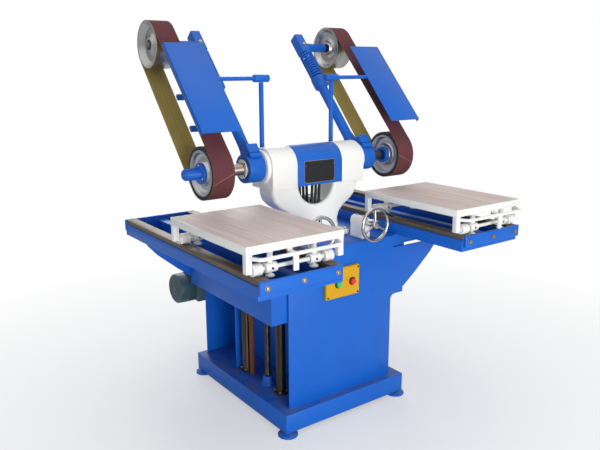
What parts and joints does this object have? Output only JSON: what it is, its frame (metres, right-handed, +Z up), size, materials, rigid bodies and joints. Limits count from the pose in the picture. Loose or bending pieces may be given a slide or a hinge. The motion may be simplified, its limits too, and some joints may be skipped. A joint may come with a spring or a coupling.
{
  "type": "belt sander",
  "caption": "Double-headed abrasive-belt sander: cabinet on a plinth, cast neck with a through spindle, leaning sprung belt arms, swing guards, and wheeled tables on lifting rail frames.",
  "frame": {"origin": "centre of the footprint, on the floor", "axes": "+X along the spindle to the right-hand head, +Y to the back of the machine, +Z up"},
  "size_m": [1.424, 1.344, 1.7682],
  "materials": {
    "blue_paint": "satin enamel",
    "white_paint": "satin enamel",
    "cream_cast_paint": "thick enamel over cast iron",
    "turned_steel": "turned steel",
    "machined_aluminium": "turned aluminium",
    "black_rubber": "moulded rubber",
    "abrasive_belt": "brown abrasive grain on cotton cloth",
    "brown_rail_steel": "brown-stained flat steel bar",
    "oiled_column_steel": "oiled round steel",
    "plywood": "worn plywood",
    "yellow_plate": "yellow enamel",
    "green_button": "moulded",
    "red_button": "moulded",
    "motor_paint": "dark grey-green enamel"
  },
  "bodies": {
    "machine_frame": {"base_plinth": "blue_paint", "front_panel": "blue_paint", "back_panel": "blue_paint", "cabinet_web": "blue_paint", "cabinet_top": "blue_paint", "side_panel_right": "blue_paint", "neck_casting": "cream_cast_paint", "pulley_cover": "blue_paint", "control_plate": "yellow_plate", "drive_motor": "motor_paint", "guard_post_left": "blue_paint", "column_left_front": "oiled_column_steel", "column_left_rear": "oiled_column_steel", "handwheel_bearing_left": "cream_cast_paint", "guard_post_right": "blue_paint", "column_right_front": "oiled_column_steel", "column_right_rear": "oiled_column_steel", "handwheel_bearing_right": "cream_cast_paint"},
    "spindle": {"spindle_shaft": "turned_steel", "contact_wheel_left": "machined_aluminium", "contact_tyre_left": "black_rubber", "clamp_boss_left": "blue_paint", "contact_wheel_right": "machined_aluminium", "contact_tyre_right": "black_rubber", "clamp_boss_right": "blue_paint"},
    "arm_left": {"arm_left": "blue_paint", "abrasive_belt_left": "abrasive_belt", "tension_spring_left": "blue_paint"},
    "tension_slide_left": {"tension_slide_left": "blue_paint"},
    "idler_left": {"idler_wheel_left": "machined_aluminium"},
    "guard_left": {"belt_guard_left": "blue_paint"},
    "lift_left": {"knee_left": "blue_paint", "rail_frame_left": "blue_paint", "rail_left_inner": "brown_rail_steel", "rail_left_outer": "brown_rail_steel"},
    "lead_screw_left": {"lead_screw_left": "turned_steel"},
    "handwheel_left": {"handwheel_left": "turned_steel"},
    "table_left": {"table_frame_left": "white_paint", "table_board_left": "plywood"},
    "wheelset_left_front": {"wheelset_left_front": "white_paint"},
    "wheelset_left_rear": {"wheelset_left_rear": "white_paint"},
    "arm_right": {"arm_right": "blue_paint", "abrasive_belt_right": "abrasive_belt", "tension_spring_right": "blue_paint"},
    "tension_slide_right": {"tension_slide_right": "blue_paint"},
    "idler_right": {"idler_wheel_right": "machined_aluminium"},
    "guard_right": {"belt_guard_right": "blue_paint"},
    "lift_right": {"knee_right": "blue_paint", "rail_frame_right": "blue_paint", "rail_right_inner": "brown_rail_steel", "rail_right_outer": "brown_rail_steel"},
    "lead_screw_right": {"lead_screw_right": "turned_steel"},
    "handwheel_right": {"handwheel_right": "turned_steel"},
    "table_right": {"table_frame_right": "white_paint", "table_board_right": "plywood"},
    "wheelset_right_front": {"wheelset_right_front": "white_paint"},
    "wheelset_right_rear": {"wheelset_right_rear": "white_paint"},
    "start_button": {"start_button": "green_button"},
    "stop_button": {"stop_button": "red_button"}
  },
  "joints": [
    {"name": "spindle_spin", "type": "hinge", "parent": "machine_frame", "child": "spindle", "pos_m": [0, -0.0005, 1.14], "axis": [1, 0, 0], "continuous": true},
    {"name": "arm_left_tilt", "type": "hinge", "parent": "machine_frame", "child": "arm_left", "pos_m": [-0.3, -0.0005, 1.14], "axis": [1, 0, 0], "range_deg": [-25, 5]},
    {"name": "tension_left_slide", "type": "slide", "parent": "arm_left", "child": "tension_slide_left", "axis": [0, 0.6665, 0.7455], "range_m": [-0.03, 0], "stiffness_N_per_m": 6000, "springref_m": 0.04, "deforming": ["tension_spring_left"]},
    {"name": "idler_left_spin", "type": "hinge", "parent": "tension_slide_left", "child": "idler_left", "pos_m": [-0.508, 0.46541, 1.66109], "axis": [1, 0, 0], "continuous": true},
    {"name": "guard_left_swing", "type": "hinge", "parent": "machine_frame", "child": "guard_left", "pos_m": [-0.197, 0.0895, 1.515], "axis": [0, 0, 1], "range_deg": [0, 60]},
    {"name": "lift_left_slide", "type": "slide", "parent": "machine_frame", "child": "lift_left", "axis": [0, 0, 1], "range_m": [-0.05, 0.035]},
    {"name": "lead_screw_left_turn", "type": "hinge", "parent": "machine_frame", "child": "lead_screw_left", "pos_m": [-0.24, 0.0055, 0.4], "axis": [0, 0, 1], "range_deg": [-1505, 1055]},
    {"name": "handwheel_left_turn", "type": "hinge", "parent": "machine_frame", "child": "handwheel_left", "pos_m": [-0.155, -0.2855, 0.878], "axis": [0, -1, 0], "range_deg": [-1505, 1055]},
    {"name": "table_left_slide", "type": "slide", "parent": "lift_left", "child": "table_left", "axis": [0, 1, 0], "range_m": [0, 0.48]},
    {"name": "wheelset_left_front_spin", "type": "hinge", "parent": "table_left", "child": "wheelset_left_front", "pos_m": [-0.5, -0.5785, 0.8926], "axis": [1, 0, 0], "range_deg": [-1260, 5]},
    {"name": "wheelset_left_rear_spin", "type": "hinge", "parent": "table_left", "child": "wheelset_left_rear", "pos_m": [-0.5, -0.0465, 0.8926], "axis": [1, 0, 0], "range_deg": [-1260, 5]},
    {"name": "arm_right_tilt", "type": "hinge", "parent": "machine_frame", "child": "arm_right", "pos_m": [0.3, -0.0005, 1.14], "axis": [1, 0, 0], "range_deg": [-25, 5]},
    {"name": "tension_right_slide", "type": "slide", "parent": "arm_right", "child": "tension_slide_right", "axis": [0, 0.6665, 0.7455], "range_m": [-0.03, 0], "stiffness_N_per_m": 6000, "springref_m": 0.04, "deforming": ["tension_spring_right"]},
    {"name": "idler_right_spin", "type": "hinge", "parent": "tension_slide_right", "child": "idler_right", "pos_m": [0.508, 0.46541, 1.66109], "axis": [1, 0, 0], "continuous": true},
    {"name": "guard_right_swing", "type": "hinge", "parent": "machine_frame", "child": "guard_right", "pos_m": [0.197, 0.0895, 1.515], "axis": [0, 0, 1], "range_deg": [-60, 0]},
    {"name": "lift_right_slide", "type": "slide", "parent": "machine_frame", "child": "lift_right", "axis": [0, 0, 1], "range_m": [-0.05, 0.035]},
    {"name": "lead_screw_right_turn", "type": "hinge", "parent": "machine_frame", "child": "lead_screw_right", "pos_m": [0.24, 0.0055, 0.4], "axis": [0, 0, 1], "range_deg": [-1505, 1055]},
    {"name": "handwheel_right_turn", "type": "hinge", "parent": "machine_frame", "child": "handwheel_right", "pos_m": [0.155, -0.2855, 0.878], "axis": [0, -1, 0], "range_deg": [-1505, 1055]},
    {"name": "table_right_slide", "type": "slide", "parent": "lift_right", "child": "table_right", "axis": [0, 1, 0], "range_m": [0, 0.48]},
    {"name": "wheelset_right_front_spin", "type": "hinge", "parent": "table_right", "child": "wheelset_right_front", "pos_m": [0.5, -0.6115, 0.8926], "axis": [1, 0, 0], "range_deg": [-1260, 5]},
    {"name": "wheelset_right_rear_spin", "type": "hinge", "parent": "table_right", "child": "wheelset_right_rear", "pos_m": [0.5, -0.0795, 0.8926], "axis": [1, 0, 0], "range_deg": [-1260, 5]},
    {"name": "start_button_press", "type": "slide", "parent": "machine_frame", "child": "start_button", "axis": [0, 1, 0], "range_m": [0, 0.0035], "stiffness_N_per_m": 400, "springref_m": -0.004},
    {"name": "stop_button_press", "type": "slide", "parent": "machine_frame", "child": "stop_button", "axis": [0, 1, 0], "range_m": [0, 0.0035], "stiffness_N_per_m": 400, "springref_m": -0.004}
  ],
  "couplings": [
    {"joint": "idler_left_spin", "follows": "spindle_spin", "ratio": 1.0524},
    {"joint": "lead_screw_left_turn", "follows": "lift_left_slide", "rad_per_m": 523.6},
    {"joint": "handwheel_left_turn", "follows": "lift_left_slide", "rad_per_m": 523.6},
    {"joint": "wheelset_left_front_spin", "follows": "table_left_slide", "rad_per_m": -45.455},
    {"joint": "wheelset_left_rear_spin", "follows": "table_left_slide", "rad_per_m": -45.455},
    {"joint": "idler_right_spin", "follows": "spindle_spin", "ratio": 1.0524},
    {"joint": "lead_screw_right_turn", "follows": "lift_right_slide", "rad_per_m": 523.6},
    {"joint": "handwheel_right_turn", "follows": "lift_right_slide", "rad_per_m": 523.6},
    {"joint": "wheelset_right_front_spin", "follows": "table_right_slide", "rad_per_m": -45.455},
    {"joint": "wheelset_right_rear_spin", "follows": "table_right_slide", "rad_per_m": -45.455}
  ]
}
